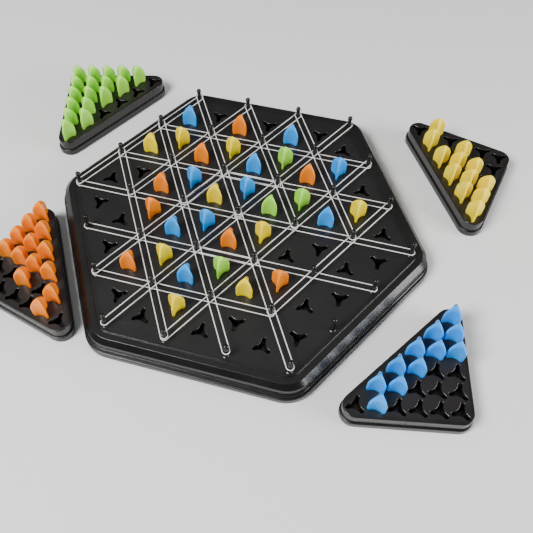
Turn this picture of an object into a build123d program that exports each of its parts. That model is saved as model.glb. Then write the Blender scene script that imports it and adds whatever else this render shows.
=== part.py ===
# Triangle-claiming peg game: a hexagonal board with a triangular lattice of posts, elastic bands
# stretched along the lattice, three-winged pegs standing in Y-shaped sockets, and four triangular
# peg trays standing round the board.  Millimetres, +Z up, +Y to the back, rows of posts along X.
# The origin is the centre of the board's underside.
import os
from math import atan2, degrees, hypot, sqrt

from build123d import *

# Lattice of posts
post_spacing = 38.0
row_lengths = (4, 5, 6, 7, 6, 5, 4)  # posts in each row, back row first
row_pitch = post_spacing * sqrt(3) / 2

# Board shells: each level is a hexagon given by its apothem, with corners rounded in step
deck_height = 16.0
rim_height = 15.4
flange_height = 7.4
seam_height = 5.0
deck_thickness = 2.2
floor_thickness = 2.4
plateau_apothem = 103.0
wall_apothem = 110.6
flange_apothem = 111.8
base_apothem = 113.0
rim_inner_apothem = 109.0
cavity_apothem = 107.2
lip_depth = 1.4
lip_gap = 0.2
bevel = 3.2
plateau_chamfer = 0.48
base_fillet = 1.0
wall_corner_radius = 17.5

# Posts
post_radius = 1.3
post_head_radius = 1.65
post_head_length = 2.5
post_head_rounding = 1.3
post_head_chamfer = 0.3
post_height = 12.7
post_shank = 5.0
post_flare_radius = 2.2
post_flare_height = 0.8
post_boss_radius = 2.9
post_boss_height = 3.8

# Elastic bands: flat loops, one level for each set that shares no post
band_width = 0.7
band_half_span = 2.2
band_first_level = 1.6
band_level_step = 0.95

# Pegs: three wings in section, domed to a point in profile, standing on a narrower foot
wing_radius = 6.0
foot_wing_radius = 5.6
wing_tip_width = 1.7
wing_waist = 2.0
foot_wing_waist = 1.9
peg_height = 17.0
peg_foot = 7.3
# the round envelope that trims the wings, as (radius, height above the deck)
peg_heel = ((5.7, 0.0), (6.1, 1.1), (6.2, 2.6))
peg_flank = ((6.2, 6.0), (5.25, 10.6), (3.45, 13.6))
peg_dome = ((3.45, 13.6), (2.05, 15.3), (0.6, 16.6))
peg_tip_radius = 0.45

# Sockets
socket_clearance = 0.25
socket_depth = 7.5
socket_flare = 0.5
socket_floor = 1.4
well_radius = 7.3

# Screws that hold the base to the top shell
screw_radius = 1.25
screw_head_radius = 2.8
screw_head_height = 1.6
screw_bite = 4.6
screw_pad_radius = 5.0
screw_boss_radius = 4.0
screw_recess = 2.2
screw_hole_radius = 1.6
screw_recess_radius = 3.2
screw_slot = (3.6, 0.8, 0.9)
screw_head_fillet = 0.5

# Trays: a right triangle of sockets, with the same two layers as the board
tray_pitch = 11.7
tray_side = 6
tray_deck_height = 12.4
tray_margin = 7.5
tray_base_margin = 8.5
tray_plug_margin = 5.4
tray_cavity_margin = 5.5
tray_floor = 2.0
tray_plug_bottom = 2.2
tray_base_fillet = 0.8
edge_chamfer = 0.6

# Where each tray's right-angled corner socket stands, and the turn of its first leg
tray_places = {
    "green": (-157.2, 100.6, 284.3),
    "yellow": (164.5, 101.6, 166.5),
    "blue": (154.6, -96.1, 101.2),
    "orange": (-144.2, -87.3, 345.2),
}

# Sockets of each tray, one text a row from the right-angled corner: o holds a peg
tray_rows = {
    "green": ("ooooo.", "oooo.", "ooo.", "oo.", "oo", "o"),
    "yellow": ("...ooo", "..ooo", ".ooo", "..o", "oo", "."),
    "blue": ("....o.", "...oo", "..oo", "ooo", "oo", "o"),
    "orange": ("..oooo", "..ooo", ".ooo", "..o", "oo", "."),
}

# Pegs on the board: the way the cell points, and the post at its back left or back corner
board_pegs = {
    "blue": (
        ("up", 1, 1), ("up", 1, 3), ("up", 2, 3), ("down", 2, 4), ("down", 3, 2),
        ("down", 3, 3), ("up", 3, 5), ("up", 4, 3), ("down", 4, 3), ("up", 5, 3),
    ),
    "orange": (
        ("up", 1, 2), ("up", 2, 2), ("up", 2, 4), ("up", 3, 2),
        ("down", 4, 2), ("up", 4, 4), ("up", 5, 2), ("down", 5, 4),
    ),
    "yellow": (
        ("up", 2, 1), ("down", 2, 1), ("down", 2, 2), ("up", 3, 3), ("down", 3, 5),
        ("down", 4, 4), ("down", 5, 2), ("up", 5, 4), ("down", 6, 2),
    ),
    "green": (("down", 2, 3), ("up", 3, 4), ("down", 3, 4), ("down", 5, 3)),
}

# Bands from end post to end post, as (row, post), in the order that they lie, lowest first
band_levels = {
    "bands_across_lower": (
        ((2, 1), (2, 5)), ((3, 1), (3, 4)), ((4, 1), (4, 4)), ((5, 1), (5, 4)), ((6, 1), (6, 4)),
    ),
    "bands_across_upper": (((3, 3), (3, 6)), ((4, 4), (4, 7)), ((5, 3), (5, 6))),
    "bands_rising_lower": (
        ((4, 1), (1, 1)), ((4, 2), (1, 2)), ((6, 1), (3, 3)),
        ((7, 1), (4, 4)), ((7, 2), (4, 5)), ((6, 4), (3, 6)),
    ),
    "bands_rising_upper": (((4, 3), (1, 3)), ((4, 4), (1, 4)), ((4, 5), (2, 5))),
    "bands_falling_lower": (
        ((3, 1), (7, 2)), ((4, 3), (7, 3)), ((4, 4), (7, 4)), ((1, 2), (4, 5)), ((1, 3), (4, 6)),
    ),
    "bands_falling_upper": (((2, 1), (4, 3)), ((1, 1), (4, 4))),
}

os.makedirs("parts", exist_ok=True)


def save(builder, name):
    builder.part.label = name
    export_step(builder.part, f"parts/{name}.step")


def post_place(row, post):
    """Where a post stands; rows and posts count from 1 at the back left."""
    length = row_lengths[row - 1]
    return ((post - 1 - (length - 1) / 2) * post_spacing, (4 - row) * row_pitch)


def cell_place(way, row, post):
    """A cell's centre and its peg's turn: one wing points at each of the cell's posts."""
    x, y = post_place(row, post)
    if way == "up":
        return x, y - row_pitch * 2 / 3, 90
    return x + post_spacing / 2, y - row_pitch / 3, 270


def all_cells():
    cells = []
    for row, length in enumerate(row_lengths[:-1], start=1):
        next_length = row_lengths[row]
        ups = range(1, length + 1) if next_length > length else range(2, length)
        downs = range(1, length)
        cells += [cell_place("up", row, post) for post in ups]
        cells += [cell_place("down", row, post) for post in downs]
    return cells


def peg_locations(places, height):
    return [Location((x, y, height), (0, 0, turn)) for x, y, turn in places]


def hexagon(apothem):
    """A rounded hexagon, its corners concentric with the wall's."""
    with BuildSketch() as outline:
        RegularPolygon(apothem, 6, major_radius=False)
        fillet(outline.vertices(), radius=wall_corner_radius + apothem - wall_apothem)
    return outline.sketch


def wing_outline(reach, waist, spread=0):
    """The three-winged section, grown outwards by spread, with one wing along +X."""
    tip = reach + spread
    half_width = wing_tip_width / 2 + spread
    hollow = waist + spread
    with BuildSketch() as outline:
        with BuildLine():
            for wing in range(3):
                way = 120 * wing
                right = Vector(tip - half_width, -half_width).rotate(Axis.Z, way)
                end = Vector(tip, 0).rotate(Axis.Z, way)
                left = Vector(tip - half_width, half_width).rotate(Axis.Z, way)
                valley = Vector(hollow, 0).rotate(Axis.Z, way + 60)
                next_right = Vector(tip - half_width, -half_width).rotate(Axis.Z, way + 120)
                ThreePointArc(right, end, left)
                ThreePointArc(left, valley, next_right)
        make_face()
    return outline.sketch


# Shapes that repeat, each made once at the origin and placed below

# Peg: a winged prism trimmed by its round envelope, on a foot that goes below the deck
with BuildPart() as peg:
    with BuildSketch():
        add(wing_outline(wing_radius, wing_waist))
    extrude(amount=peg_height)
    with BuildSketch(Plane.XZ):
        with BuildLine():
            Polyline(
                peg_dome[-1], (peg_tip_radius, peg_height), (0, peg_height), (0, 0), peg_heel[0],
            )
            ThreePointArc(*peg_heel)
            Line(peg_heel[-1], peg_flank[0])
            ThreePointArc(*peg_flank)
            ThreePointArc(*peg_dome)
        make_face()
    revolve(axis=Axis.Z, mode=Mode.INTERSECT)
    with BuildSketch(Plane.XY.offset(-peg_foot)):
        add(wing_outline(foot_wing_radius, foot_wing_waist))
    extrude(amount=peg_foot)

# Socket: the foot's section with clearance, flared where it opens on the deck
with BuildPart() as socket:
    with BuildSketch(Plane.XY.offset(-socket_depth)):
        add(wing_outline(foot_wing_radius, foot_wing_waist, socket_clearance))
    extrude(amount=socket_depth)
    with BuildSketch(Plane.XY.offset(-socket_flare)):
        add(wing_outline(foot_wing_radius, foot_wing_waist, socket_clearance))
    with BuildSketch(Plane.XY):
        add(wing_outline(foot_wing_radius, foot_wing_waist, socket_clearance + socket_flare))
    loft(ruled=True)

# Post: a pin with a flared foot and a rounded head, its shank pressed into the deck
with BuildPart() as post:
    with Locations((0, 0, -post_shank)):
        Cylinder(
            post_radius, post_shank + post_height - post_head_length,
            align=(Align.CENTER, Align.CENTER, Align.MIN),
        )
    Cone(
        post_flare_radius, post_radius, post_flare_height,
        align=(Align.CENTER, Align.CENTER, Align.MIN),
    )
    with Locations((0, 0, post_height - post_head_length)):
        Cylinder(
            post_head_radius, post_head_length, align=(Align.CENTER, Align.CENTER, Align.MIN)
        )
    fillet(post.edges().group_by(Axis.Z)[-1], radius=post_head_rounding)
    head_bottom = post.faces().filter_by(Axis.Z).sort_by(Axis.Z)[-2]
    chamfer(head_bottom.edges().sort_by(SortBy.RADIUS)[-1], length=post_head_chamfer)

post_places = [
    post_place(row, number)
    for row, length in enumerate(row_lengths, start=1)
    for number in range(1, length + 1)
]
screw_places = [post_place(*key) for key in ((1, 1), (1, 4), (4, 1), (4, 7), (7, 1), (7, 4))]

# Board top: skirt, bevelled rim, raised deck, wells under the sockets and bosses under the posts
with BuildPart() as board_top:
    with BuildSketch(Plane.XY.offset(seam_height)):
        add(hexagon(flange_apothem))
    extrude(amount=flange_height - seam_height)
    chamfer(board_top.faces().sort_by(Axis.Z)[-1].edges(), length=edge_chamfer)
    with BuildSketch(Plane.XY.offset(seam_height)):
        add(hexagon(wall_apothem))
    extrude(amount=rim_height - seam_height)
    chamfer(board_top.faces().sort_by(Axis.Z)[-1].edges(), length=bevel)
    with BuildSketch(Plane.XY.offset(rim_height)):
        add(hexagon(plateau_apothem))
    extrude(amount=deck_height - rim_height)
    chamfer(board_top.faces().sort_by(Axis.Z)[-1].edges(), length=plateau_chamfer)
    with BuildSketch(Plane.XY.offset(seam_height)):
        add(hexagon(cavity_apothem))
    extrude(amount=deck_height - deck_thickness - seam_height, mode=Mode.SUBTRACT)
    with BuildSketch(Plane.XY.offset(seam_height - lip_depth)):
        add(hexagon(rim_inner_apothem - lip_gap))
        add(hexagon(cavity_apothem), mode=Mode.SUBTRACT)
    extrude(amount=lip_depth)
    # wells and bosses hang from the underside of the deck
    well_height = socket_depth + socket_floor - deck_thickness
    with Locations(*[(x, y, deck_height - deck_thickness) for x, y, turn in all_cells()]):
        Cylinder(well_radius, well_height, align=(Align.CENTER, Align.CENTER, Align.MAX))
    with Locations(*[(x, y, deck_height - deck_thickness) for x, y in post_places]):
        Cylinder(
            post_boss_radius, post_boss_height,
            align=(Align.CENTER, Align.CENTER, Align.MAX),
        )
    with Locations(*[(x, y, seam_height) for x, y in screw_places]):
        Cylinder(
            screw_boss_radius, deck_height - deck_thickness - seam_height,
            align=(Align.CENTER, Align.CENTER, Align.MIN),
        )
    # sockets, post holes and screw holes
    with Locations(*peg_locations(all_cells(), deck_height)):
        add(socket.part, mode=Mode.SUBTRACT)
    with Locations(*[(x, y, deck_height) for x, y in post_places]):
        Cylinder(
            post_radius, post_shank,
            align=(Align.CENTER, Align.CENTER, Align.MAX), mode=Mode.SUBTRACT,
        )
    with Locations(*[(x, y, seam_height) for x, y in screw_places]):
        Cylinder(
            screw_radius, screw_bite,
            align=(Align.CENTER, Align.CENTER, Align.MIN), mode=Mode.SUBTRACT,
        )
save(board_top, "board_top")

# Board base: a shallow dish that closes the top shell from below
with BuildPart() as board_base:
    with BuildSketch():
        add(hexagon(base_apothem))
    extrude(amount=seam_height)
    fillet(board_base.faces().sort_by(Axis.Z)[-1].edges(), radius=base_fillet)
    chamfer(board_base.faces().sort_by(Axis.Z)[0].edges(), length=edge_chamfer)
    with BuildSketch(Plane.XY.offset(floor_thickness)):
        add(hexagon(rim_inner_apothem))
    extrude(amount=seam_height - floor_thickness, mode=Mode.SUBTRACT)
    with Locations(*[(x, y, floor_thickness) for x, y in screw_places]):
        Cylinder(
            screw_pad_radius, seam_height - floor_thickness,
            align=(Align.CENTER, Align.CENTER, Align.MIN),
        )
    with Locations(*[Location((x, y, 0), (180, 0, 0)) for x, y in screw_places]):
        CounterBoreHole(screw_hole_radius, screw_recess_radius, screw_recess, depth=seam_height)
save(board_base, "board_base")

# Screws: pan heads in the base's recesses, shanks in the top shell's bosses
with BuildPart() as screw:
    with Locations((0, 0, screw_recess - screw_head_height)):
        Cylinder(
            screw_head_radius, screw_head_height, align=(Align.CENTER, Align.CENTER, Align.MIN)
        )
    fillet(screw.faces().sort_by(Axis.Z)[0].edges(), radius=screw_head_fillet)
    with Locations((0, 0, screw_recess)):
        Cylinder(
            screw_radius, seam_height + screw_bite - screw_recess,
            align=(Align.CENTER, Align.CENTER, Align.MIN),
        )
    with Locations((0, 0, screw_recess - screw_head_height)):
        for turn in (0, 90):
            Box(
                *screw_slot, rotation=(0, 0, turn),
                align=(Align.CENTER, Align.CENTER, Align.MIN), mode=Mode.SUBTRACT,
            )

with BuildPart() as board_screws:
    with Locations(*screw_places):
        add(screw.part)
save(board_screws, "board_screws")

with BuildPart() as board_posts:
    with Locations(*[(x, y, deck_height) for x, y in post_places]):
        add(post.part)
save(board_posts, "board_posts")

# Bands: a flat loop round its end posts, passing every post between on both sides
for level, (band_name, bands) in enumerate(band_levels.items()):
    band_middle = deck_height + band_first_level + band_level_step * level
    with BuildPart() as band_set:
        for first, last in bands:
            start_x, start_y = post_place(*first)
            end_x, end_y = post_place(*last)
            length = hypot(end_x - start_x, end_y - start_y)
            turn = degrees(atan2(end_y - start_y, end_x - start_x))
            middle = ((start_x + end_x) / 2, (start_y + end_y) / 2, 0)
            with BuildSketch(Plane.XY.offset(band_middle - band_width / 2)):
                with Locations(Location(middle, (0, 0, turn))):
                    SlotCenterToCenter(length, 2 * band_half_span + band_width)
                    SlotCenterToCenter(length, 2 * band_half_span - band_width, mode=Mode.SUBTRACT)
            extrude(amount=band_width)
    save(band_set, band_name)

for colour, cells in board_pegs.items():
    for number, cell in enumerate(cells, start=1):
        with BuildPart() as board_peg:
            with Locations(*peg_locations([cell_place(*cell)], deck_height)):
                add(peg.part)
        save(board_peg, f"peg_{colour}_{number}")


def tray_outline(margin):
    """The triangle through the corner sockets, grown outwards by margin with round corners."""
    reach = tray_pitch * (tray_side - 1)
    with BuildSketch() as outline:
        Polygon((0, 0), (reach, 0), (0, reach), align=None)
        offset(amount=margin, kind=Kind.ARC)
    return outline.sketch


tray_peg_turn = 225
tray_sockets = [
    (tray_pitch * along, tray_pitch * across, tray_peg_turn)
    for along in range(tray_side)
    for across in range(tray_side - along)
]

# Tray top: a deck with its sockets, a wall, and a plug that sits in the base
with BuildPart() as tray_top:
    with BuildSketch(Plane.XY.offset(seam_height)):
        add(tray_outline(tray_margin))
    extrude(amount=tray_deck_height - seam_height)
    chamfer(tray_top.faces().sort_by(Axis.Z)[-1].edges(), length=edge_chamfer)
    with BuildSketch(Plane.XY.offset(tray_plug_bottom)):
        add(tray_outline(tray_plug_margin))
    extrude(amount=seam_height - tray_plug_bottom)
    with Locations(*peg_locations(tray_sockets, tray_deck_height)):
        add(socket.part, mode=Mode.SUBTRACT)

# Tray base: a dish with a slightly wider rim
with BuildPart() as tray_base:
    with BuildSketch():
        add(tray_outline(tray_base_margin))
    extrude(amount=seam_height)
    fillet(tray_base.faces().sort_by(Axis.Z)[-1].edges(), radius=tray_base_fillet)
    chamfer(tray_base.faces().sort_by(Axis.Z)[0].edges(), length=edge_chamfer)
    with BuildSketch(Plane.XY.offset(tray_floor)):
        add(tray_outline(tray_cavity_margin))
    extrude(amount=seam_height - tray_floor, mode=Mode.SUBTRACT)

for colour, (x, y, turn) in tray_places.items():
    stand = Location((x, y, 0), (0, 0, turn))
    with BuildPart() as placed_top:
        with Locations(stand):
            add(tray_top.part)
    save(placed_top, f"tray_{colour}_top")
    with BuildPart() as placed_base:
        with Locations(stand):
            add(tray_base.part)
    save(placed_base, f"tray_{colour}_base")
    filled = [
        (tray_pitch * along, tray_pitch * across, tray_peg_turn)
        for along, row in enumerate(tray_rows[colour])
        for across, mark in enumerate(row)
        if mark == "o"
    ]
    with BuildPart() as tray_pegs:
        with Locations(stand):
            with Locations(*peg_locations(filled, tray_deck_height)):
                add(peg.part)
    save(tray_pegs, f"tray_{colour}_pegs")
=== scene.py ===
from math import atan2, cos, degrees, pi, radians, sin, sqrt

import bmesh
import bpy
from mathutils import Euler, Matrix, Vector


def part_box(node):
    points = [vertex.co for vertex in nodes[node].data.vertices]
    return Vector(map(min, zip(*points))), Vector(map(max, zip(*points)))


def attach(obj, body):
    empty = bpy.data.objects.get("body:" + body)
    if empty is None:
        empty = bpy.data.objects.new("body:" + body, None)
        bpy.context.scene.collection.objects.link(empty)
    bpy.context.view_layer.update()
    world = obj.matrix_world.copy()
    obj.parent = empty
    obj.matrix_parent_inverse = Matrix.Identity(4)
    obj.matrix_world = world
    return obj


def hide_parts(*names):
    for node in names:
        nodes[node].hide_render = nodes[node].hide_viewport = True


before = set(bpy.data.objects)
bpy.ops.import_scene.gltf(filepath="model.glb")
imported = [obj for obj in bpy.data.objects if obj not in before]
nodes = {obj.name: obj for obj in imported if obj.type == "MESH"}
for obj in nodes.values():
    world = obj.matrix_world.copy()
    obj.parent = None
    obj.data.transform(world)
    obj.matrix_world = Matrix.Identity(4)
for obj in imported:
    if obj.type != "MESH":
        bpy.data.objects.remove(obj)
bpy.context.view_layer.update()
mm = 0.001


# working by hand: select, draw, extrude, finish

def activate(piece):
    if bpy.context.mode != "OBJECT":
        bpy.ops.object.mode_set(mode="OBJECT")
    bpy.ops.object.select_all(action="DESELECT")
    piece.select_set(True)
    bpy.context.view_layer.objects.active = piece


def startEdit(piece, mode="VERT"):
    activate(piece)
    bpy.ops.object.mode_set(mode="EDIT")
    bpy.ops.mesh.select_mode(type=mode)
    bpy.ops.mesh.select_all(action="DESELECT")


def endEdit():
    bpy.ops.object.mode_set(mode="OBJECT")


def selectFaces(piece, test):
    mesh = bmesh.from_edit_mesh(piece.data)
    for face in mesh.faces:
        face.select_set(test(face))
    bmesh.update_edit_mesh(piece.data)


def selectEnd(piece, way=1):
    # the face farthest up (way 1) or down (way -1)
    heights = [face.calc_center_median().z * way for face in bmesh.from_edit_mesh(piece.data).faces]
    selectFaces(piece, lambda face: face.calc_center_median().z * way > max(heights) - 1e-7)


def selectPoints(piece, test):
    mesh = bmesh.from_edit_mesh(piece.data)
    for vert in mesh.verts:
        vert.select_set(test(vert))
    mesh.select_flush_mode()
    bmesh.update_edit_mesh(piece.data)


def applyModifiers(piece):
    activate(piece)
    for modifier in list(piece.modifiers):
        bpy.ops.object.modifier_apply(modifier=modifier.name)


def smooth(piece, angle=35):
    activate(piece)
    bpy.ops.object.shade_smooth_by_angle(angle=radians(angle))
    modifier = piece.modifiers.new("evenNormals", "WEIGHTED_NORMAL")
    modifier.keep_sharp = True
    applyModifiers(piece)


def turnOutwards(piece):
    startEdit(piece)
    bpy.ops.mesh.select_all(action="SELECT")
    bpy.ops.mesh.remove_doubles(threshold=1e-6)
    bpy.ops.mesh.normals_make_consistent(inside=False)
    endEdit()


def copyAt(source, place, turn=0.0):
    # a copy with its own mesh, stood at place and turned by degrees about +Z
    copy = source.copy()
    copy.data = source.data.copy()
    bpy.context.scene.collection.objects.link(copy)
    copy.data.transform(Matrix.Translation(place) @ Matrix.Rotation(radians(turn), 4, "Z"))
    return copy


def joinAs(pieces, name):
    activate(pieces[0])
    for piece in pieces[1:]:
        piece.select_set(True)
    bpy.ops.object.join()
    pieces[0].name = name
    return pieces[0]


def cut(piece, cutter, operation="DIFFERENCE"):
    modifier = piece.modifiers.new("cut", "BOOLEAN")
    modifier.operation = operation
    modifier.solver = "EXACT"
    modifier.object = cutter
    applyModifiers(piece)
    bpy.data.objects.remove(cutter)


def onePoint(name, place):
    # a single point to draw from: a small plane drawn together
    bpy.ops.object.select_all(action="DESELECT")
    bpy.ops.mesh.primitive_plane_add(size=mm, location=(0, 0, 0))
    piece = bpy.context.active_object
    piece.name = name
    startEdit(piece)
    bpy.ops.mesh.select_all(action="SELECT")
    bpy.ops.mesh.merge(type="CENTER")
    bpy.ops.mesh.select_all(action="SELECT")
    bpy.ops.transform.translate(value=place)
    return piece


def turning(start, end):
    return (atan2(end.y, end.x) - atan2(start.y, start.x)) % (2 * pi)


def drawRounded(name, centres, radius, height, steps):
    # a closed outline round the centres, counter-clockwise, with an arc of radius about each
    centres = [Vector((x, y)) for x, y in centres]
    count = len(centres)
    outward = []
    for number, centre in enumerate(centres):
        side = (centres[(number + 1) % count] - centre).normalized()
        outward.append(Vector((side.y, -side.x)))
    start = centres[0] + outward[-1] * radius
    piece = onePoint(name, (start.x, start.y, height))
    for number, centre in enumerate(centres):
        bpy.ops.mesh.spin(
            steps=steps, angle=-turning(outward[number - 1], outward[number]),
            center=(centre.x, centre.y, height), axis=(0, 0, 1),
        )
        side = centres[(number + 1) % count] - centre
        bpy.ops.mesh.extrude_region_move(TRANSFORM_OT_translate={"value": (side.x, side.y, 0)})
    bpy.ops.mesh.select_all(action="SELECT")
    bpy.ops.mesh.remove_doubles(threshold=1e-6)
    return piece


slab = 0.5  # first thickness of a piece before it is carried through its profile


def fillUp(piece):
    # fills the outline and raises it to a slab
    bpy.ops.mesh.select_all(action="SELECT")
    bpy.ops.mesh.edge_face_add()
    bpy.ops.mesh.select_mode(type="FACE")
    bpy.ops.mesh.select_all(action="SELECT")
    bpy.ops.mesh.normals_make_consistent(inside=False)
    bpy.ops.mesh.extrude_region_move(TRANSFORM_OT_translate={"value": (0, 0, slab * mm)})
    bpy.ops.mesh.select_all(action="SELECT")
    bpy.ops.mesh.normals_make_consistent(inside=False)


def roundCorners(profile, segments=3):
    # profile points are (inset, height, rounding); each rounded one becomes a short curve
    points = [Vector(point[:2]) for point in profile]
    line = [points[0]]
    for before, here, after, point in zip(points, points[1:], points[2:], profile[1:]):
        back, on = (before - here).normalized(), (after - here).normalized()
        radius = point[2]
        if radius:
            reach = radius * sqrt((1 + back.dot(on)) / (1 - back.dot(on)))
            for step in range(segments + 1):
                t = step / segments
                line.append(
                    (here + back * reach) * (1 - t) ** 2
                    + here * 2 * t * (1 - t)
                    + (here + on * reach) * t**2
                )
        else:
            line.append(here)
    line.append(points[-1])
    return line


def climb(piece, profile, way=1):
    # carries the end face through a profile: an extrude where it rises, an inset where it narrows
    line = roundCorners(profile)
    selectEnd(piece, way)
    for here, there in zip(line, line[1:]):
        inward, rise = (there.x - here.x) * mm, (there.y - here.y) * mm
        if inward > 1e-7:
            bpy.ops.mesh.inset(thickness=inward, depth=rise * way)
        else:
            bpy.ops.mesh.extrude_region_move(TRANSFORM_OT_translate={"value": (0, 0, rise)})


def turnProfile(name, profile, segments):
    # a turned piece: the first (radius, height) is its foot, the last its top
    radius, height = profile[0]
    bpy.ops.object.select_all(action="DESELECT")
    bpy.ops.mesh.primitive_circle_add(
        vertices=segments, radius=radius * mm, fill_type="NGON", location=(0, 0, height * mm)
    )
    piece = bpy.context.active_object
    piece.name = name
    bpy.ops.object.transform_apply(location=True, rotation=True, scale=True)
    startEdit(piece, "FACE")
    bpy.ops.mesh.select_all(action="SELECT")
    for nextRadius, nextHeight in profile[1:]:
        bpy.ops.mesh.extrude_region_move(
            TRANSFORM_OT_translate={"value": (0, 0, (nextHeight - height) * mm)}
        )
        ratio = nextRadius / radius
        bpy.ops.transform.resize(value=(ratio, ratio, 1), center_override=(0, 0, nextHeight * mm))
        radius, height = nextRadius, nextHeight
    endEdit()
    turnOutwards(piece)
    return piece


def arc(centre, radius, start, end, steps):
    # stations on an arc of a turned profile
    return [
        (centre[0] + radius * cos(radians(start + (end - start) * step / steps)),
         centre[1] + radius * sin(radians(start + (end - start) * step / steps)))
        for step in range(steps + 1)
    ]


# where things stand, read from the frame

def looseParts(node):
    # the separate solids of a node, each as its list of points
    mesh = bmesh.new()
    mesh.from_mesh(nodes[node].data)
    bmesh.ops.remove_doubles(mesh, verts=mesh.verts, dist=1e-6)
    left = set(mesh.verts)
    parts = []
    while left:
        waiting = [left.pop()]
        part = []
        while waiting:
            vert = waiting.pop()
            part.append(vert.co.copy())
            for edge in vert.link_edges:
                other = edge.other_vert(vert)
                if other in left:
                    left.remove(other)
                    waiting.append(other)
        parts.append(part)
    mesh.free()
    return parts


def middle(points):
    lows = [min(point[axis] for point in points) for axis in range(3)]
    highs = [max(point[axis] for point in points) for axis in range(3)]
    return (Vector(lows) + Vector(highs)) / 2


postPlaces = sorted(
    (middle(part).xy for part in looseParts("board_posts")),
    key=lambda place: (-round(place.y, 4), place.x),
)
postSpacing = min((place - postPlaces[0]).length for place in postPlaces[1:])
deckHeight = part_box("board_top")[1].z
print("posts found:", len(postPlaces), "spacing", round(postSpacing / mm, 2))

# a cell is three neighbouring posts; each has one side along X
cells = []
for left in postPlaces:
    for right in postPlaces:
        if (right - left - Vector((postSpacing, 0))).length < mm:
            for third in postPlaces:
                if max(abs((third - end).length - postSpacing) for end in (left, right)) < mm:
                    centre = (left + right + third) / 3
                    away = third - centre
                    cells.append((centre, degrees(atan2(away.y, away.x))))
print("cells found:", len(cells))


# winged shapes: one section for the pegs and, with clearance, for their sockets

wings = {
    "reach": 6.0,  # axis to the end of a wing
    "waist": 2.0,  # axis to the bottom of a groove
    "footReach": 5.6,
    "footWaist": 1.9,
    "half": 0.85,  # half of a wing's thickness
    "tipSteps": 6,
    "grooveSteps": 8,
}


def drawWings(height, reach, half, waist):
    # one closed three-winged outline at a height: a half round at each wing, an arc in each groove
    centre = reach - half
    along, across = centre / 2 + half * sqrt(0.75), centre * sqrt(0.75) - half / 2
    waist = min(waist, along - 0.04 * across)
    dip = along - waist
    radius = (across**2 + dip**2) / (2 * dip)
    sweep = 2 * atan2(across, radius - dip)
    for wing in range(3):
        way = radians(120 * wing)
        bpy.ops.mesh.spin(
            steps=wings["tipSteps"], angle=-pi, axis=(0, 0, 1),
            center=(centre * cos(way) * mm, centre * sin(way) * mm, height * mm),
        )
        far = waist + radius
        way += pi / 3
        bpy.ops.mesh.spin(
            steps=wings["grooveSteps"], angle=sweep, axis=(0, 0, 1),
            center=(far * cos(way) * mm, far * sin(way) * mm, height * mm),
        )


def drawWinged(name, stations):
    # stations are (height, reach, half thickness, waist), from the foot up
    piece = None
    for height, reach, half, waist in stations:
        start = Vector(((reach - half) * mm, -half * mm, height * mm))
        if piece is None:
            piece = onePoint(name, start)
        else:
            bpy.ops.mesh.select_all(action="DESELECT")
            bpy.ops.mesh.primitive_plane_add(size=mm, location=start)
            bpy.ops.mesh.merge(type="CENTER")
        drawWings(height, reach, half, waist)
        level = height * mm
        selectPoints(piece, lambda vert: abs(vert.co.z - level) < 1e-7)
        bpy.ops.mesh.remove_doubles(threshold=1e-6)
    bpy.ops.mesh.select_mode(type="EDGE")
    for lower, upper in zip(stations, stations[1:]):
        ends = (lower[0] * mm, upper[0] * mm)
        selectPoints(piece, lambda vert: min(abs(vert.co.z - end) for end in ends) < 1e-7)
        mesh = bmesh.from_edit_mesh(piece.data)
        for edge in mesh.edges:
            flat = abs(edge.verts[0].co.z - edge.verts[1].co.z) < 1e-7
            edge.select_set(flat and min(abs(edge.verts[0].co.z - end) for end in ends) < 1e-7)
        bmesh.update_edit_mesh(piece.data)
        bpy.ops.mesh.bridge_edge_loops()
    for end in (stations[0][0] * mm, stations[-1][0] * mm):
        mesh = bmesh.from_edit_mesh(piece.data)
        for edge in mesh.edges:
            edge.select_set(max(abs(vert.co.z - end) for vert in edge.verts) < 1e-7)
        bmesh.update_edit_mesh(piece.data)
        bpy.ops.mesh.edge_face_add()
    endEdit()
    turnOutwards(piece)
    return piece


peg = {
    "foot": 7.3,  # below the deck
    "footRounding": 0.3,
    "heel": ((0.0, 5.64), (0.3, 5.84), (0.75, 5.97), (1.4, 6.0), (3.4, 6.0)),  # height, reach
    "flank": ((6.2, 6.0), (5.25, 10.6), (3.45, 13.6)),  # three places on each arc of the side
    "dome": ((3.45, 13.6), (2.05, 15.3), (0.6, 16.6)),
    "nub": ((16.84, 0.52), (17.0, 0.26)),
    "arcSteps": 6,
    "thinning": 0.42,  # half a wing's thickness as a share of the reach, near the tip
    "filling": 0.8,  # the waist as a share of the reach, near the tip
}


def arcThrough(start, between, end, steps):
    # places along the arc that passes through three places
    (ax, ay), (bx, by), (cx, cy) = start, between, end
    twice = 2 * (ax * (by - cy) + bx * (cy - ay) + cx * (ay - by))
    first, second, third = ax**2 + ay**2, bx**2 + by**2, cx**2 + cy**2
    x = (first * (by - cy) + second * (cy - ay) + third * (ay - by)) / twice
    y = (first * (cx - bx) + second * (ax - cx) + third * (bx - ax)) / twice
    begin, finish = atan2(ay - y, ax - x), atan2(cy - y, cx - x)
    radius = sqrt((ax - x) ** 2 + (ay - y) ** 2)
    turns = [begin + (finish - begin) * step / steps for step in range(steps + 1)]
    return [(x + radius * cos(turn), y + radius * sin(turn)) for turn in turns]


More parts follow.
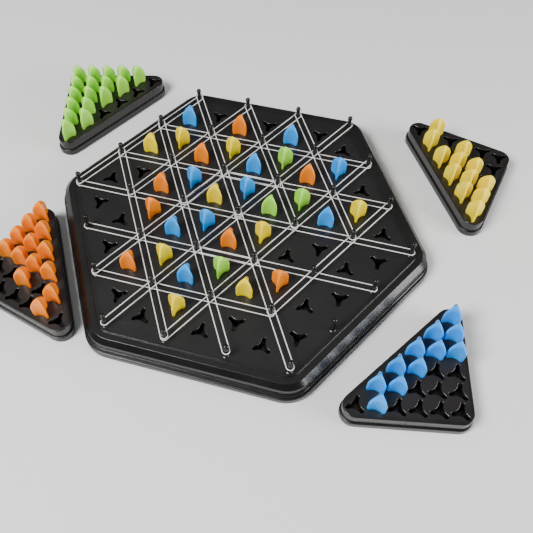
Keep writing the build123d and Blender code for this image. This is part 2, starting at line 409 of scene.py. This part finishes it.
def makePeg():
    half, rounding = wings["half"], peg["footRounding"]
    foot = (wings["footReach"], half, wings["footWaist"])
    stations = [
        (-peg["foot"], *(size - rounding for size in foot)),
        (rounding - peg["foot"], *foot),
        (-0.05, *foot),
    ]
    side = list(peg["heel"])
    for name in ("flank", "dome"):
        places = arcThrough(*peg[name], peg["arcSteps"])
        if name == "dome":
            del places[0]  # it is also the flank's last place
        side += [(height, reach) for reach, height in places]
    for height, reach in side + list(peg["nub"]):
        reach = min(reach, wings["reach"])
        thin, waist = peg["thinning"] * reach, peg["filling"] * reach
        stations.append((height, reach, min(half, thin), min(wings["waist"], waist)))
    piece = drawWinged("pegPattern", stations)
    modifier = piece.modifiers.new("round", "SUBSURF")
    modifier.levels = modifier.render_levels = 1
    applyModifiers(piece)
    smooth(piece, 60)
    return piece


pegPattern = makePeg()
print("peg modelled:", len(pegPattern.data.polygons), "faces")


socket = {
    "clearance": 0.25,
    "depth": 7.5,
    "lip": 0.5,  # rounding where it opens on the deck
}


def makeSocketCutter():
    def station(height, spread):
        return (height, *(wings[size] + spread for size in ("footReach", "half", "footWaist")))

    clearance, lip = socket["clearance"], socket["lip"]
    stations = [station(-socket["depth"], clearance)]
    for turn in (0, 35, 65, 88):
        height = lip * (sin(radians(turn)) - 1)
        stations.append(station(height, clearance + lip * (1 - cos(radians(turn)))))
    stations.append(station(lip, clearance + lip))
    return drawWinged("socketCutter", stations)


socketCutter = makeSocketCutter()
print("socket cutter modelled")


def cutSockets(piece, places):
    cutters = [copyAt(socketCutter, place, turn) for place, turn in places]
    cut(piece, joinAs(cutters, "socketCutters"))


# board: the hexagonal top shell and its base

boardTop = {
    "corner": 17.5,  # rounding of the wall's corners, seen from above
    "cornerAt": 110.6,  # apothem that has that rounding
    "profile": (  # apothem, height, rounding
        (111.8, 5.0, 0), (111.8, 6.9, 0.4), (111.3, 7.4, 0.3), (110.6, 7.4, 0.25),
        (110.6, 12.2, 0.7), (107.4, 15.4, 0.6), (103.4, 15.4, 0.25), (103.0, 16.0, 0.35),
        (102.0, 16.0, 0),
    ),
    "cavity": (107.2, 13.8),  # apothem and ceiling of the hollow below the deck
    "well": (7.3, 7.1),  # radius and lowest height of the walls round each socket
    "wellChamfer": 0.4,
    "boss": (2.9, 10.0),
    "overlap": 0.6,  # wells and bosses go this far into the deck that they hang from
    "steps": 10,
}
boardBase = {
    "upper": ((113.0, 2.0, 0), (113.0, 5.0, 0.9), (109.0, 5.0, 0.2), (109.0, 2.4, 0)),
    "chamfer": 0.6,
    "recess": (3.2, 2.2),
}


def hexagonCentres(apothem, corner):
    reach = (apothem - corner) * 2 / sqrt(3) * mm
    return [(reach * cos(radians(60 * side)), reach * sin(radians(60 * side))) for side in range(6)]


def cornerFor(apothem):
    return boardTop["corner"] + apothem - boardTop["cornerAt"]


def insetProfile(profile):
    widest, lowest, rounding = profile[0]
    steps = [(widest - apothem, height, rounding) for apothem, height, rounding in profile[1:]]
    return [(0, lowest + slab, 0)] + steps


def underside(height, chamfer):
    # from a height down to the table, chamfered all round
    return ((0, height, 0), (0, chamfer, 0.3), (chamfer, 0, 0.3), (2, 0, 0))


def drawBoardSlab(name, apothem, height):
    corner = cornerFor(apothem)
    return drawRounded(
        name, hexagonCentres(apothem, corner), corner * mm, height * mm, boardTop["steps"]
    )


def makeBoardTop():
    profile = boardTop["profile"]
    piece = drawBoardSlab("boardTop", profile[0][0], profile[0][1])
    fillUp(piece)
    climb(piece, insetProfile(profile))
    apothem, ceiling = boardTop["cavity"]
    selectEnd(piece, -1)
    bpy.ops.mesh.inset(thickness=(profile[0][0] - apothem) * mm, depth=0)
    bpy.ops.mesh.extrude_region_move(
        TRANSFORM_OT_translate={"value": (0, 0, (ceiling - profile[0][1]) * mm)}
    )
    endEdit()
    turnOutwards(piece)
    radius, low = boardTop["well"]
    chamfer, top = boardTop["wellChamfer"], ceiling + boardTop["overlap"]
    profile = [(radius - chamfer, low), (radius, low + chamfer), (radius, top)]
    well = turnProfile("well", profile, 32)
    wells = joinAs([copyAt(well, (*centre, 0)) for centre, turn in cells], "wells")
    cut(piece, wells, "UNION")
    radius, low = boardTop["boss"]
    boss = turnProfile("boss", [(radius, low), (radius, top)], 24)
    bosses = joinAs([copyAt(boss, (*place, 0)) for place in postPlaces], "bosses")
    cut(piece, bosses, "UNION")
    bpy.data.objects.remove(well)
    bpy.data.objects.remove(boss)
    cutSockets(piece, [((*centre, deckHeight), turn) for centre, turn in cells])
    smooth(piece)
    return piece


def makeBoardBase():
    profile = boardBase["upper"]
    piece = drawBoardSlab("boardBase", profile[0][0], profile[0][1])
    fillUp(piece)
    climb(piece, insetProfile(profile))
    climb(piece, underside(profile[0][1], boardBase["chamfer"]), -1)
    endEdit()
    turnOutwards(piece)
    radius, depth = boardBase["recess"]
    recess = turnProfile("recess", [(radius, -1), (radius, depth)], 32)
    cut(piece, joinAs([copyAt(recess, (*place, 0)) for place in cornerPosts], "recesses"))
    bpy.data.objects.remove(recess)
    smooth(piece)
    return piece


farthest = max(place.length for place in postPlaces)
cornerPosts = [place for place in postPlaces if place.length > farthest - mm]
boardTopPiece = makeBoardTop()
boardBasePiece = makeBoardBase()
boardFaces = [len(piece.data.polygons) for piece in (boardTopPiece, boardBasePiece)]
print("board modelled:", boardFaces[0], "and", boardFaces[1], "faces")


# posts: a flared pin with a rounded knob, modelled once

post = {
    "radius": 1.3,
    "knob": 1.65,
    "height": 12.7,
    "knobLength": 2.5,
    "flare": (2.2, 0.8),
    "shank": 4.0,
    "lap": 0.02,  # the flare starts just inside the deck
    "edge": 0.3,  # rounding of the knob's lower edge
    "crown": 1.3,  # rounding of its top
}


def makePost():
    radius, knob, height = post["radius"], post["knob"], post["height"]
    flareRadius, flareHeight = post["flare"]
    neck, lap, edge, crown = height - post["knobLength"], post["lap"], post["edge"], post["crown"]
    profile = [(radius, -post["shank"]), (radius, -lap), (flareRadius, -lap)]
    for step in range(5):
        widening = (flareRadius - radius) * (1 - step / 4) ** 2
        profile.append((radius + widening, flareHeight * step / 4))
    profile += [(radius, neck - 0.15), (radius + 0.06, neck)]
    profile += arc((knob - edge, neck + 0.35), edge, -60, 0, 3)
    profile += arc((knob - crown, height - crown), crown, 0, 84, 7)
    return turnProfile("post", profile, 24)


postPattern = makePost()
standingPosts = [
    copyAt(postPattern, (*place, deckHeight), 7 * number) for number, place in enumerate(postPlaces)
]
postsPiece = joinAs(standingPosts, "boardPosts")
smooth(postsPiece, 40)
bpy.data.objects.remove(postPattern)
print("posts modelled:", len(postsPiece.data.polygons), "faces")


# bands: a round elastic cord drawn along its loop, straight runs and a half turn at each end post

band = {
    "radius": 0.31,
    "halfSpan": 2.2,  # middle of the cord to the middle of the posts
    "sides": 10,
    "turnSteps": 12,
}


def makeBand(start, end, height):
    along = end - start
    span = band["halfSpan"] * mm
    side = Vector((along.y, -along.x)).normalized() * span
    first = start + side
    bpy.ops.object.select_all(action="DESELECT")
    bpy.ops.mesh.primitive_circle_add(
        vertices=band["sides"], radius=band["radius"] * mm, location=(first.x, first.y, height),
        rotation=(pi / 2, 0, atan2(along.y, along.x) + pi / 2),
    )
    piece = bpy.context.active_object
    bpy.ops.object.transform_apply(location=True, rotation=True, scale=True)
    startEdit(piece, "EDGE")
    bpy.ops.mesh.select_all(action="SELECT")
    for run, centre in ((along, end), (-along, start)):
        bpy.ops.mesh.extrude_region_move(TRANSFORM_OT_translate={"value": (run.x, run.y, 0)})
        bpy.ops.mesh.spin(
            steps=band["turnSteps"], angle=-pi, center=(centre.x, centre.y, height), axis=(0, 0, 1)
        )
    endEdit()
    turnOutwards(piece)
    return piece


bandPieces = {}
for node in nodes:
    if node.startswith("bands_"):
        loops = []
        for part in looseParts(node):
            centre = middle(part)
            far = max(part, key=lambda point: (point - centre).length)
            ends = [
                min(postPlaces, key=lambda place: (place - tip.xy).length)
                for tip in (far, 2 * centre - far)
            ]
            loops.append(makeBand(ends[0], ends[1], centre.z))
        name = node.split("_")
        bandPieces[node] = joinAs(loops, name[0] + "".join(word.capitalize() for word in name[1:]))
        smooth(bandPieces[node], 60)
print("bands modelled:", sum(len(piece.data.polygons) for piece in bandPieces.values()), "faces")


# screws: pan heads with a cross recess, in the base's recesses

screw = {
    "head": (2.8, 0.6, 2.2),  # radius, lowest and highest height
    "shank": (1.25, 9.6),
    "slot": (3.6, 0.8, 0.9),
    "threads": 8,
    "threadPitch": 0.85,
    "threadDepth": 0.3,
}


def makeScrew():
    radius, low, high = screw["head"]
    shankRadius, top = screw["shank"]
    depth = screw["threadDepth"]
    profile = [(0.6, low), (radius - 0.7, low + 0.02)]
    profile += arc((radius - 0.6, low + 0.65), 0.6, -75, 0, 5)
    profile += [(radius, high), (shankRadius, high)]
    for turn in range(screw["threads"]):
        height = high + 0.4 + turn * screw["threadPitch"]
        profile += [(shankRadius - depth, height), (shankRadius, height + 0.35)]
    profile += [(shankRadius - depth, top - 0.3), (0.3, top)]
    piece = turnProfile("screw", profile, 32)
    slots = []
    for way in (0, pi / 2):
        bpy.ops.object.select_all(action="DESELECT")
        bpy.ops.mesh.primitive_cube_add(size=1, location=(0, 0, low * mm), rotation=(0, 0, way))
        slot = bpy.context.active_object
        length, width, depth = screw["slot"]
        slot.scale = (length * mm, width * mm, 2 * depth * mm)
        bpy.ops.object.transform_apply(location=True, rotation=True, scale=True)
        slots.append(slot)
    for slot in slots:
        cut(piece, slot)
    smooth(piece)
    return piece


screwPattern = makeScrew()
screwsPiece = joinAs(
    [copyAt(screwPattern, (*place, 0), 23 * number) for number, place in enumerate(cornerPosts)],
    "boardScrews",
)
bpy.data.objects.remove(screwPattern)
print("screws modelled:", len(screwsPiece.data.polygons), "faces")


# trays: a right triangle of sockets in two layers

tray = {
    "pitch": 11.7,
    "side": 6,
    "baseMargin": 8.5,
    "top": ((7.5, 5.0, 0), (7.5, 12.4, 0.7), (6.0, 12.4, 0)),  # margin, height, rounding
    "base": ((8.5, 2.0, 0), (8.5, 5.0, 0.7), (5.5, 5.0, 0.2), (5.5, 2.0, 0)),
    "plug": (5.4, 2.2),
    "chamfer": 0.6,
    "pegTurn": 225,  # a wing points at the right-angled corner
    "steps": 8,
}


def trayStand(colour):
    # the right-angled corner socket of a tray and the turn of its first leg, from the base's walls
    mesh = nodes[f"tray_{colour}_base"].data
    walls = {}
    for face in mesh.polygons:
        if abs(face.normal.z) < 0.001:
            key = round(degrees(atan2(face.normal.y, face.normal.x)), 1)
            walls[key] = walls.get(key, 0) + face.area
    turn = max(walls, key=walls.get) - 45
    back = Matrix.Rotation(radians(-turn), 2)
    points = [back @ vert.co.xy for vert in mesh.vertices]
    corner = Vector([min(point[axis] for point in points) for axis in range(2)])
    corner += Vector((tray["baseMargin"], tray["baseMargin"])) * mm
    return Matrix.Rotation(radians(turn), 2) @ corner, turn


def trayCentres():
    reach = tray["pitch"] * (tray["side"] - 1) * mm
    return [(0, 0), (reach, 0), (0, reach)]


def drawTray(name, margin, height):
    return drawRounded(name, trayCentres(), margin * mm, height * mm, tray["steps"])


def makeTray():
    top, base = tray["top"], tray["base"]
    piece = drawTray("trayTop", top[0][0], top[0][1])
    fillUp(piece)
    climb(piece, insetProfile(top))
    selectEnd(piece, -1)
    bpy.ops.mesh.inset(thickness=(top[0][0] - tray["plug"][0]) * mm, depth=0)
    bpy.ops.mesh.extrude_region_move(
        TRANSFORM_OT_translate={"value": (0, 0, (tray["plug"][1] - top[0][1]) * mm)}
    )
    endEdit()
    turnOutwards(piece)
    places = []
    for along in range(tray["side"]):
        for across in range(tray["side"] - along):
            place = (along * tray["pitch"] * mm, across * tray["pitch"] * mm, top[1][1] * mm)
            places.append((place, tray["pegTurn"]))
    cutSockets(piece, places)
    smooth(piece)
    dish = drawTray("trayBase", base[0][0], base[0][1])
    fillUp(dish)
    climb(dish, insetProfile(base))
    climb(dish, underside(base[0][1], tray["chamfer"]), -1)
    endEdit()
    turnOutwards(dish)
    smooth(dish)
    return piece, dish


trayBases = [node for node in nodes if node.startswith("tray") and node.endswith("_base")]
colours = sorted(node.split("_")[1] for node in trayBases)
trayTopPattern, trayBasePattern = makeTray()
trayPieces = {}
for colour in colours:
    corner, turn = trayStand(colour)
    title = colour.capitalize()
    for part, pattern in (("top", trayTopPattern), ("base", trayBasePattern)):
        piece = copyAt(pattern, (*corner, 0), turn)
        piece.name = "tray" + title + part.capitalize()
        trayPieces[f"tray_{colour}_{part}"] = piece
    tops = [max(solid, key=lambda point: point.z) for solid in looseParts(f"tray_{colour}_pegs")]
    back = Matrix.Rotation(radians(-turn), 2)
    ahead = Matrix.Rotation(radians(turn), 2)
    standing = []
    for top in tops:
        steps = (back @ (top.xy - corner)) / (tray["pitch"] * mm)
        place = corner + ahead @ (Vector((round(steps.x), round(steps.y))) * tray["pitch"] * mm)
        place = (*place, tray["top"][1][1] * mm)
        standing.append(copyAt(pegPattern, place, turn + tray["pegTurn"]))
    trayPieces[f"tray_{colour}_pegs"] = joinAs(standing, "tray" + title + "Pegs")
    print("tray modelled:", colour, "with", len(tops), "pegs, turned", round(turn, 1))
for pattern in (trayTopPattern, trayBasePattern, socketCutter):
    bpy.data.objects.remove(pattern)

pegPieces = {}
for node in nodes:
    if node.startswith("peg_"):
        low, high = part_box(node)
        middlePlace = ((low + high) / 2).xy
        centre, turn = min(cells, key=lambda cell: (cell[0] - middlePlace).length)
        piece = copyAt(pegPattern, (*centre, deckHeight), turn)
        words = node.split("_")
        piece.name = words[0] + "".join(word.capitalize() for word in words[1:])
        pegPieces[node] = piece
bpy.data.objects.remove(pegPattern)
print("pegs stood on the board:", len(pegPieces))


# effects that several finishes share

def makeGroup(name, inputs, outputs):
    group = bpy.data.node_groups.new(name, "ShaderNodeTree")
    for socketName, kind, value in inputs:
        made = group.interface.new_socket(name=socketName, in_out="INPUT", socket_type=kind)
        made.default_value = value
    for socketName, kind in outputs:
        group.interface.new_socket(name=socketName, in_out="OUTPUT", socket_type=kind)
    return group, group.nodes.new("NodeGroupInput"), group.nodes.new("NodeGroupOutput")


def addNode(tree, kind, settings=None, **values):
    node = tree.nodes.new(kind)
    for name, value in (settings or {}).items():
        setattr(node, name, value)
    for name, value in values.items():
        key = name.replace("_", " ")
        if hasattr(value, "is_output"):
            tree.links.new(value, node.inputs[key])
        else:
            node.inputs[key].default_value = value
    return node


def maths(tree, operation, first, second):
    node = tree.nodes.new("ShaderNodeMath")
    node.operation = operation
    for number, value in enumerate((first, second)):
        if hasattr(value, "is_output"):
            tree.links.new(value, node.inputs[number])
        else:
            node.inputs[number].default_value = value
    return node.outputs[0]


def ramp(tree, value, taken=(0.0, 1.0), given=(0.0, 1.0)):
    # a value's taken range laid over the given one
    node = addNode(
        tree, "ShaderNodeMapRange", Value=value,
        From_Min=taken[0], From_Max=taken[1], To_Min=given[0], To_Max=given[1],
    )
    return node.outputs["Result"]


def objectPlace(tree):
    return tree.nodes.new("ShaderNodeTexCoord").outputs["Object"]


def makeGrainGroup():
    # fine spark-eroded texture of a mould, with a slow waviness below it
    group, into, out = makeGroup(
        "mouldGrain",
        (
            ("Grain", "NodeSocketFloat", 2600.0),
            ("Wave", "NodeSocketFloat", 60.0),
            ("Wave Share", "NodeSocketFloat", 0.3),
        ),
        (("Height", "NodeSocketFloat"), ("Tone", "NodeSocketFloat")),
    )
    place = objectPlace(group)
    fine = addNode(
        group, "ShaderNodeTexNoise",
        Vector=place, Scale=into.outputs["Grain"], Detail=3.0, Roughness=0.6,
    )
    slow = addNode(
        group, "ShaderNodeTexNoise",
        Vector=place, Scale=into.outputs["Wave"], Detail=4.0, Roughness=0.55,
    )
    waves = maths(group, "MULTIPLY", slow.outputs["Fac"], into.outputs["Wave Share"])
    height = maths(group, "ADD", fine.outputs["Fac"], waves)
    group.links.new(height, out.inputs["Height"])
    group.links.new(slow.outputs["Fac"], out.inputs["Tone"])
    return group


def makeDustGroup():
    # specks of dust and lint, thicker where the slow noise is high
    group, into, out = makeGroup(
        "dust",
        (("Size", "NodeSocketFloat", 900.0), ("Amount", "NodeSocketFloat", 0.4)),
        (("Mask", "NodeSocketFloat"),),
    )
    place = objectPlace(group)
    specks = addNode(group, "ShaderNodeTexVoronoi", Vector=place, Scale=into.outputs["Size"])
    patches = addNode(
        group, "ShaderNodeTexNoise", Vector=place, Scale=24.0, Detail=5.0, Roughness=0.65
    )
    near = ramp(group, specks.outputs["Distance"], (0.05, 0.3), (1.0, 0.0))
    thick = ramp(group, patches.outputs["Fac"], (0.45, 0.75))
    mask = maths(group, "MULTIPLY", near, thick)
    group.links.new(maths(group, "MULTIPLY", mask, into.outputs["Amount"]), out.inputs["Mask"])
    return group


def makeScuffGroup():
    # hairline scratches in two directions, and rubbed outer edges
    group, into, out = makeGroup(
        "scuffs",
        (("Length", "NodeSocketFloat", 30.0), ("Edge", "NodeSocketFloat", 0.5)),
        (("Lines", "NodeSocketFloat"), ("Rub", "NodeSocketFloat")),
    )
    place = objectPlace(group)
    lines = []
    for turn in (0.4, 2.1):
        turned = addNode(
            group, "ShaderNodeMapping", Vector=place, Rotation=(0, 0, turn), Scale=(1, 26, 1)
        )
        scratch = addNode(
            group, "ShaderNodeTexNoise",
            Vector=turned.outputs["Vector"], Scale=into.outputs["Length"], Detail=2.0,
        )
        lines.append(ramp(group, scratch.outputs["Fac"], (0.66, 0.72)))
    group.links.new(maths(group, "MAXIMUM", lines[0], lines[1]), out.inputs["Lines"])
    pointed = group.nodes.new("ShaderNodeNewGeometry").outputs["Pointiness"]
    edge = ramp(group, pointed, (0.52, 0.62))
    group.links.new(maths(group, "MULTIPLY", edge, into.outputs["Edge"]), out.inputs["Rub"])
    return group


def makePolishGroup():
    # how polished the mould was: Sides on the sides and bevels, 0 on the level faces
    group, into, out = makeGroup(
        "polish", (("Sides", "NodeSocketFloat", 1.0),), (("Mask", "NodeSocketFloat"),)
    )
    normal = group.nodes.new("ShaderNodeNewGeometry").outputs["Normal"]
    upright = addNode(group, "ShaderNodeSeparateXYZ", Vector=normal).outputs["Z"]
    side = ramp(group, upright, (0.9, 0.995), (1.0, 0.0))
    group.links.new(maths(group, "MULTIPLY", side, into.outputs["Sides"]), out.inputs["Mask"])
    return group


grainGroup, dustGroup = makeGrainGroup(), makeDustGroup()
scuffGroup, polishGroup = makeScuffGroup(), makePolishGroup()


def useGroup(tree, group, **values):
    node = tree.nodes.new("ShaderNodeGroup")
    node.node_tree = group
    for name, value in values.items():
        node.inputs[name.replace("_", " ")].default_value = value
    return node


def newFinish(name):
    material = bpy.data.materials.new(name)
    material.use_nodes = True
    return material, material.node_tree, material.node_tree.nodes["Principled BSDF"]


def mixColours(tree, factor, first, second):
    node = tree.nodes.new("ShaderNodeMix")
    node.data_type = "RGBA"
    for name, value in (("Factor", factor), ("A", first), ("B", second)):
        kind = "VALUE" if name == "Factor" else "RGBA"
        inlet = [one for one in node.inputs if one.name == name and one.type == kind][0]
        if hasattr(value, "is_output"):
            tree.links.new(value, inlet)
        else:
            inlet.default_value = value
    return [one for one in node.outputs if one.type == "RGBA"][0]


def bumpFrom(tree, height, distance, strength=1.0):
    node = addNode(tree, "ShaderNodeBump", Height=height, Distance=distance, Strength=strength)
    return node.outputs["Normal"]


def mouldedPlastic(name, dark, light, roughness, grain, bump, dust, coat, edge, polish):
    # moulded plastic: slow tone, grain, dust, hairlines and rubbed edges
    material, tree, shader = newFinish(name)
    texture = useGroup(tree, grainGroup, Grain=grain, Wave=45.0, Wave_Share=0.25)
    tone = ramp(tree, texture.outputs["Tone"], (0.3, 0.7))
    specks = useGroup(tree, dustGroup, Size=1100.0, Amount=dust)
    marks = useGroup(tree, scuffGroup, Length=22.0, Edge=edge)
    colour = mixColours(tree, tone, (*dark, 1), (*light, 1))
    worn = tuple(min(1, part * 1.5 + 0.03) for part in light) + (1,)
    colour = mixColours(tree, marks.outputs["Rub"], colour, worn)
    colour = mixColours(tree, specks.outputs["Mask"], colour, (0.42, 0.4, 0.37, 1))
    tree.links.new(colour, shader.inputs["Base Color"])
    rough = ramp(tree, tone, given=(roughness - 0.04, roughness + 0.05))
    sides = useGroup(tree, polishGroup, Sides=polish)
    rough = maths(tree, "SUBTRACT", rough, sides.outputs["Mask"])
    rough = maths(tree, "ADD", rough, maths(tree, "MULTIPLY", marks.outputs["Lines"], 0.1))
    rough = maths(tree, "ADD", rough, maths(tree, "MULTIPLY", specks.outputs["Mask"], 0.3))
    tree.links.new(rough, shader.inputs["Roughness"])
    tree.links.new(bumpFrom(tree, texture.outputs["Height"], bump), shader.inputs["Normal"])
    shader.inputs["Coat Weight"].default_value = coat
    shader.inputs["Coat Roughness"].default_value = 0.12
    shader.inputs["IOR"].default_value = 1.5
    return material


def elasticFinish(name):
    # white covered elastic: fine crosswise ribs, a little grey where fingers and posts touch
    material, tree, shader = newFinish(name)
    texture = useGroup(tree, grainGroup, Grain=5200.0, Wave=110.0, Wave_Share=0.2)
    tone = ramp(tree, texture.outputs["Tone"], (0.35, 0.7))
    colour = mixColours(tree, tone, (0.86, 0.86, 0.85, 1), (0.7, 0.69, 0.67, 1))
    tree.links.new(colour, shader.inputs["Base Color"])
    tree.links.new(ramp(tree, tone, given=(0.5, 0.68)), shader.inputs["Roughness"])
    tree.links.new(bumpFrom(tree, texture.outputs["Height"], 0.00006), shader.inputs["Normal"])
    shader.inputs["Sheen Weight"].default_value = 0.25
    return material


def steelFinish(name):
    # zinc-plated steel, a little blotched
    material, tree, shader = newFinish(name)
    texture = useGroup(tree, grainGroup, Grain=4000.0, Wave=700.0, Wave_Share=0.6)
    tone = texture.outputs["Tone"]
    colour = mixColours(tree, tone, (0.46, 0.46, 0.47, 1), (0.72, 0.72, 0.7, 1))
    tree.links.new(colour, shader.inputs["Base Color"])
    tree.links.new(ramp(tree, tone, given=(0.25, 0.5)), shader.inputs["Roughness"])
    tree.links.new(bumpFrom(tree, texture.outputs["Height"], 0.00003), shader.inputs["Normal"])
    shader.inputs["Metallic"].default_value = 1.0
    return material


def plasticOf(dark, light, **others):
    # a plastic's two tones, with the values of the pegs' plastic where it names no others
    values = {
        "dark": dark, "light": light, "roughness": 0.36, "grain": 3200.0, "bump": 0.000015,
        "dust": 0.0, "coat": 0.1, "edge": 0.15, "polish": 0.0,
    }
    values.update(others)
    return values


housing = {"bump": 0.000035, "dust": 0.04, "coat": 0.0, "edge": 0.12, "polish": 0.13}
finishes = {
    "board_plastic": plasticOf(
        (0.0042, 0.0038, 0.0036), (0.0066, 0.006, 0.0056), grain=2600.0, **housing
    ),
    "tray_plastic": plasticOf(
        (0.0052, 0.0042, 0.0039), (0.0084, 0.0066, 0.006), roughness=0.38, grain=2400.0, **housing
    ),
    "post_plastic": plasticOf(
        (0.005, 0.0046, 0.0044), (0.007, 0.0065, 0.006),
        roughness=0.3, bump=0.00001, coat=0.0, edge=0.1,
    ),
    "blue_plastic": plasticOf((0.01, 0.32, 0.95), (0.02, 0.38, 0.98)),
    "orange_plastic": plasticOf((0.98, 0.22, 0.0), (0.99, 0.27, 0.001)),
    "yellow_plastic": plasticOf((0.99, 0.72, 0.0), (0.995, 0.78, 0.001)),
    "green_plastic": plasticOf((0.34, 0.82, 0.06), (0.4, 0.88, 0.08)),
}
materials = {
    slotName: mouldedPlastic(slotName + "_finish", **values)
    for slotName, values in finishes.items()
}
materials["white_elastic"] = elasticFinish("white_elastic_finish")
materials["screw_steel"] = steelFinish("screw_steel_finish")
print("finishes made:", len(materials))


# every piece rides on its body, stands for its node and takes its slot

pieces = {
    "board_top": boardTopPiece, "board_base": boardBasePiece,
    "board_posts": postsPiece, "board_screws": screwsPiece,
}
pieces.update(bandPieces)
pieces.update(trayPieces)
pieces.update(pegPieces)


def bodyFor(node):
    if node.startswith("board_"):
        return "board"
    if node.startswith("tray_") and not node.endswith("_pegs"):
        return node.rsplit("_", 1)[0]
    return node


def slotFor(node):
    first, second = node.split("_")[:2]
    if node in ("board_posts", "board_screws"):
        return {"board_posts": "post_plastic", "board_screws": "screw_steel"}[node]
    if first == "bands":
        return "white_elastic"
    if node.endswith("_pegs") or first == "peg":
        return second + "_plastic"
    return first + "_plastic"


for node, piece in pieces.items():
    slotName = slotFor(node)
    piece.data.materials.clear()
    piece.data.materials.append(materials[slotName])
    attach(piece, bodyFor(node))
    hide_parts(node)
print("pieces placed:", len(pieces))


# floor, lights and camera

def makeFloor():
    bpy.ops.object.select_all(action="DESELECT")
    bpy.ops.mesh.primitive_plane_add(size=8, location=(0, 0, -0.0003))
    floor = bpy.context.active_object
    floor.name = "floor"
    material, tree, shader = newFinish("pale_floor")
    cloud = addNode(tree, "ShaderNodeTexNoise", Vector=objectPlace(tree), Scale=2.0, Detail=3.0)
    colour = mixColours(tree, cloud.outputs["Fac"], (0.8, 0.8, 0.79, 1), (0.84, 0.84, 0.83, 1))
    tree.links.new(colour, shader.inputs["Base Color"])
    shader.inputs["Roughness"].default_value = 0.7
    floor.data.materials.append(material)


lights = {  # direction from the board, distance, size across and up, watts
    "keySoftbox": ((-0.45, -0.55, 0.9), 1.4, (0.5, 0.5), 30),
    "overheadSoftbox": ((-0.15, 0.35, 0.93), 1.3, (1.1, 0.8), 1.2),
    "rightSoftbox": ((0.95, -0.05, 0.35), 1.1, (0.7, 0.45), 13),
}


def makeLight(name, direction, distance, size, watts):
    light = bpy.data.lights.new(name, "AREA")
    light.shape = "RECTANGLE"
    light.size, light.size_y = size
    light.energy = watts
    lamp = bpy.data.objects.new(name, light)
    lamp.location = Vector(direction).normalized() * distance
    lamp.rotation_euler = (-lamp.location).to_track_quat("-Z", "Y").to_euler()
    bpy.context.scene.collection.objects.link(lamp)


camera = {
    "place": (0.071, -0.26455, 0.38342),
    "target": (-0.0084, -0.022, 0.016),
    "roll": -2.6,
    "lens": 46.17,
    "shift": (0.0925, -0.0475),
}


def makeCamera():
    lens = bpy.data.cameras.new("camera")
    lens.lens = camera["lens"]
    lens.sensor_width = 36
    lens.shift_x, lens.shift_y = camera["shift"]
    lens.clip_start = 0.01
    viewer = bpy.data.objects.new("camera", lens)
    viewer.location = camera["place"]
    look = Vector(camera["target"]) - viewer.location
    turned = look.to_track_quat("-Z", "Y") @ Euler((0, 0, radians(camera["roll"]))).to_quaternion()
    viewer.rotation_euler = turned.to_euler()
    bpy.context.scene.collection.objects.link(viewer)
    bpy.context.scene.camera = viewer


makeFloor()
for name, values in lights.items():
    makeLight(name, *values)
world = bpy.data.worlds.new("studio")
world.use_nodes = True
world.node_tree.nodes["Background"].inputs["Color"].default_value = (0.9, 0.93, 0.95, 1)
world.node_tree.nodes["Background"].inputs["Strength"].default_value = 0.14
bpy.context.scene.world = world
makeCamera()
print("floor, lights and camera set")
